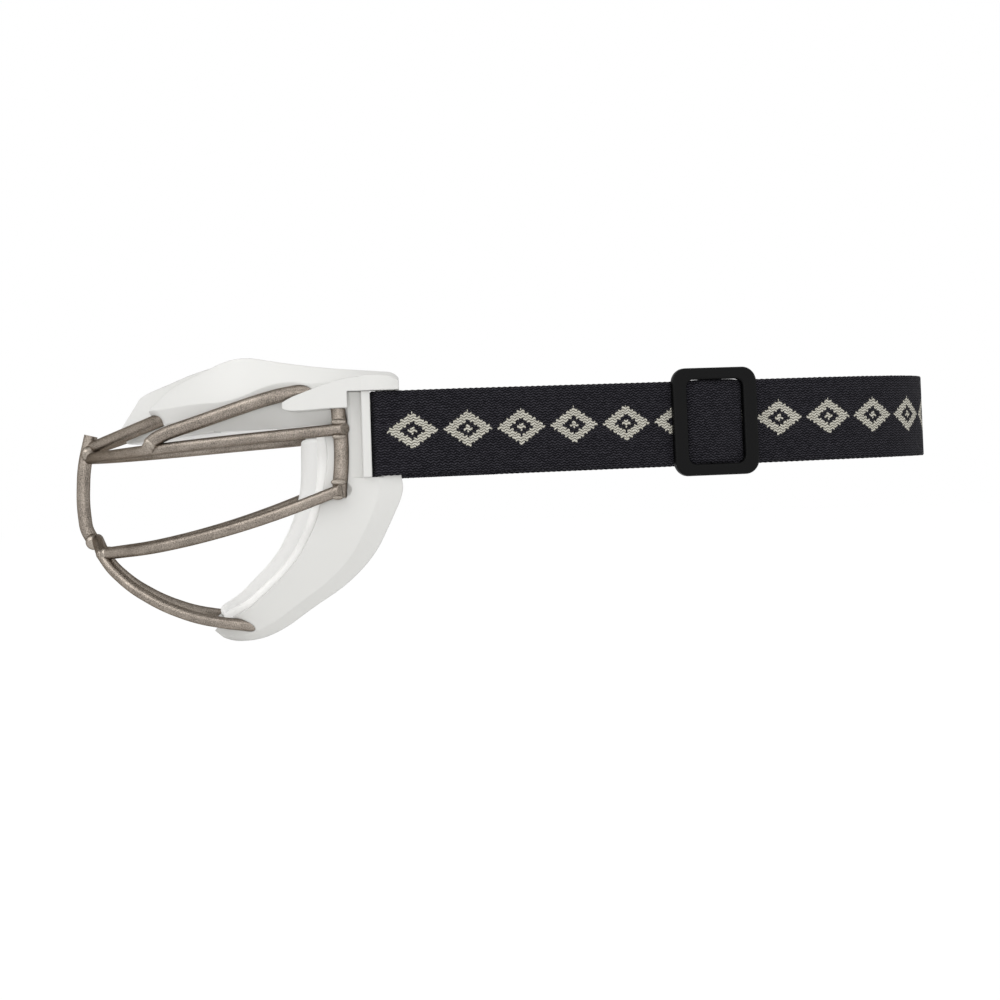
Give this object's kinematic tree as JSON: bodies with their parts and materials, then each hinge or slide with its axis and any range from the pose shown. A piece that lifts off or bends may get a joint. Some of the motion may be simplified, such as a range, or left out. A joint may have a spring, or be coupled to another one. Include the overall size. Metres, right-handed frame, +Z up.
{
  "type": "lacrosse goggles",
  "caption": "Sports eye guard with a welded wire cage in a moulded brow and cheek frame, foam face pads and an elastic head strap with a slide adjuster.",
  "frame": {"origin": "mid plane at eye level, just in front of the wearer's forehead", "axes": "+X to the wearer's left, +Y from the face back to the strap, +Z up"},
  "size_m": [0.1574, 0.2725, 0.0858],
  "materials": {
    "titanium_wire": "satin, fine grain",
    "weld_metal": "bright",
    "shell_plastic": "satin moulded",
    "pad_foam": "soft closed-cell foam",
    "strap_webbing": "elastic knit",
    "tack_thread": "sewn thread",
    "slide_plastic": "fine texture"
  },
  "bodies": {
    "goggles": {"bar_tacks_right": "tack_thread", "bottom_wire_left": "titanium_wire", "bottom_wire_right": "titanium_wire", "brow_pad": "pad_foam", "brow_shell": "shell_plastic", "brow_wire_left": "titanium_wire", "brow_wire_right": "titanium_wire", "centre_bar": "titanium_wire", "cheek_frame_left": "shell_plastic", "cheek_frame_right": "shell_plastic", "cheek_pad_left": "pad_foam", "cheek_pad_right": "pad_foam", "lower_wire_left": "titanium_wire", "lower_wire_right": "titanium_wire", "nose_wire": "titanium_wire", "outer_brow_wire_left": "titanium_wire", "outer_brow_wire_right": "titanium_wire", "side_post_left": "titanium_wire", "side_post_right": "titanium_wire", "strap_return": "strap_webbing", "strap_tail_right": "strap_webbing", "strap_web": "strap_webbing", "upper_wire_left": "titanium_wire", "upper_wire_right": "titanium_wire", "weld_beads_centre": "weld_metal", "weld_beads_left": "weld_metal", "weld_beads_right": "weld_metal"},
    "slide": {"slide_adjuster": "slide_plastic", "strap_end_loop": "strap_webbing", "strap_crown": "strap_webbing"}
  },
  "joints": [
    {"name": "slide_travel", "type": "slide", "parent": "goggles", "child": "slide", "axis": [-0.2504, 0.9681, 0.0101], "range_m": [-0.065, 0.012]}
  ]
}
